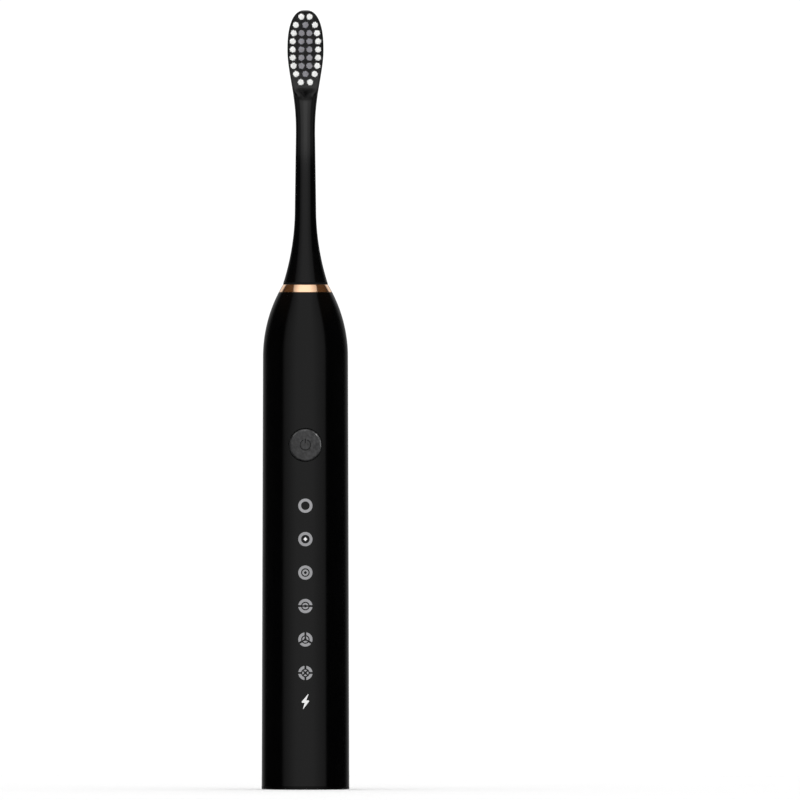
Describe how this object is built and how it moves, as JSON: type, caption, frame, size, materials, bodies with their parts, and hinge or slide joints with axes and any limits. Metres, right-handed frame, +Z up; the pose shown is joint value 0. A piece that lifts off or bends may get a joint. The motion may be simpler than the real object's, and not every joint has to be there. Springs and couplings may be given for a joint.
{
  "type": "electric toothbrush",
  "caption": "Slim round sonic toothbrush: black bottle-shaped handle, rose gold ring, grey round button, mode symbols, and a pull-off brush head driven by an oscillating shaft.",
  "frame": {"origin": "centre of the flat base, on the surface that the toothbrush stands on", "axes": "+Z up along the handle's axis, -Y out of the front with its button, symbols and bristles, +X to the viewer's right as the front is seen"},
  "size_m": [0.0272, 0.0272, 0.2414],
  "materials": {
    "shell_black": "satin-gloss black ABS",
    "rose_gold": "polished rose gold plating",
    "symbol_grey": "translucent grey inlay",
    "symbol_white": "translucent white inlay",
    "button_rubber": "fine-grained soft-touch rubber",
    "seal_silicone": "matte silicone",
    "black_plastic": "moulded",
    "clear_plastic": "clear polycarbonate",
    "chassis_plastic": "moulded, dark grey",
    "board_green": "solder mask",
    "chip_black": "moulded epoxy",
    "component_tan": "ceramic and tinned ends",
    "led_white": "moulded package",
    "switch_white": "moulded",
    "screw_steel": "zinc plated",
    "cell_can": "bare can",
    "cell_wrap": "shrink sleeve",
    "nickel": "nickel strip",
    "foam": "foam",
    "lead_red": "insulated wire",
    "lead_yellow": "insulated wire",
    "motor_steel": "drawn can",
    "core_steel": "laminated",
    "copper": "enamelled copper",
    "former_plastic": "moulded",
    "bronze": "sintered",
    "magnet": "nickel plated",
    "o_ring_rubber": "moulded",
    "shaft_steel": "ground stainless",
    "brush_black": "satin-gloss black",
    "hub_grey": "moulded",
    "nylon_white": "nylon filaments",
    "nylon_grey": "nylon filaments",
    "anchor_brass": "stamped"
  },
  "bodies": {
    "handle": {"handle_shell": "shell_black", "trim_ring": "rose_gold", "mode_icon_1": "symbol_grey", "mode_icon_2": "symbol_grey", "mode_icon_3": "symbol_grey", "mode_icon_4": "symbol_grey", "mode_icon_5": "symbol_grey", "mode_icon_6": "symbol_grey", "charge_icon": "symbol_white", "mode_icon_2_center": "symbol_white", "button_seal": "seal_silicone", "light_baffle": "black_plastic", "light_guide": "clear_plastic", "chassis": "chassis_plastic", "motor_clamp": "chassis_plastic", "circuit_board": "board_green", "controller_chip": "chip_black", "board_components": "component_tan", "mode_leds": "led_white", "switch_body": "chip_black", "board_screws": "screw_steel", "battery_cell": "cell_can", "battery_wrap": "cell_wrap", "battery_tabs": "nickel", "battery_pad": "foam", "battery_leads": "lead_red", "motor_housing": "motor_steel", "motor_rear_cap": "black_plastic", "motor_front_cap": "black_plastic", "stator_core": "core_steel", "coil_bobbin": "former_plastic", "motor_coil": "copper", "rotor_support": "black_plastic", "front_bearing": "bronze", "rear_bearing": "bronze", "motor_dampers": "foam", "motor_leads": "lead_yellow", "nose_collar": "black_plastic", "neck_o_ring": "o_ring_rubber", "shaft_seal": "seal_silicone", "bottom_cap": "shell_black", "cap_o_ring": "o_ring_rubber", "charging_coil_former": "former_plastic", "charging_coil": "copper", "charging_leads": "copper"},
    "power_button": {"power_button": "button_rubber"},
    "switch_plunger": {"switch_plunger": "switch_white"},
    "rotor": {"drive_shaft": "shaft_steel", "rotor_core": "core_steel", "rotor_magnets": "magnet", "retaining_clip": "shaft_steel"},
    "brush_head": {"brush_head_body": "brush_black", "brush_hub": "hub_grey", "hub_clip": "shaft_steel", "outer_tufts": "nylon_white", "inner_tufts": "nylon_grey", "tuft_anchors": "anchor_brass"}
  },
  "joints": [
    {"name": "shaft_oscillation", "type": "hinge", "parent": "handle", "child": "rotor", "pos_m": [0, 0, 0.136], "axis": [0, 0, 1], "range_deg": [-5, 5], "stiffness_Nm_per_rad": 0.01},
    {"name": "brush_head_pull", "type": "slide", "parent": "rotor", "child": "brush_head", "axis": [0, 0, 1], "range_m": [0, 0.03]},
    {"name": "button_press", "type": "slide", "parent": "handle", "child": "power_button", "axis": [0, 1, 0], "range_m": [0, 0.0004], "stiffness_N_per_m": 500, "springref_m": -0.0004},
    {"name": "plunger_travel", "type": "slide", "parent": "handle", "child": "switch_plunger", "axis": [0, 1, 0], "range_m": [0, 0.0004]}
  ],
  "couplings": [
    {"joint": "plunger_travel", "follows": "button_press", "ratio": 1}
  ]
}
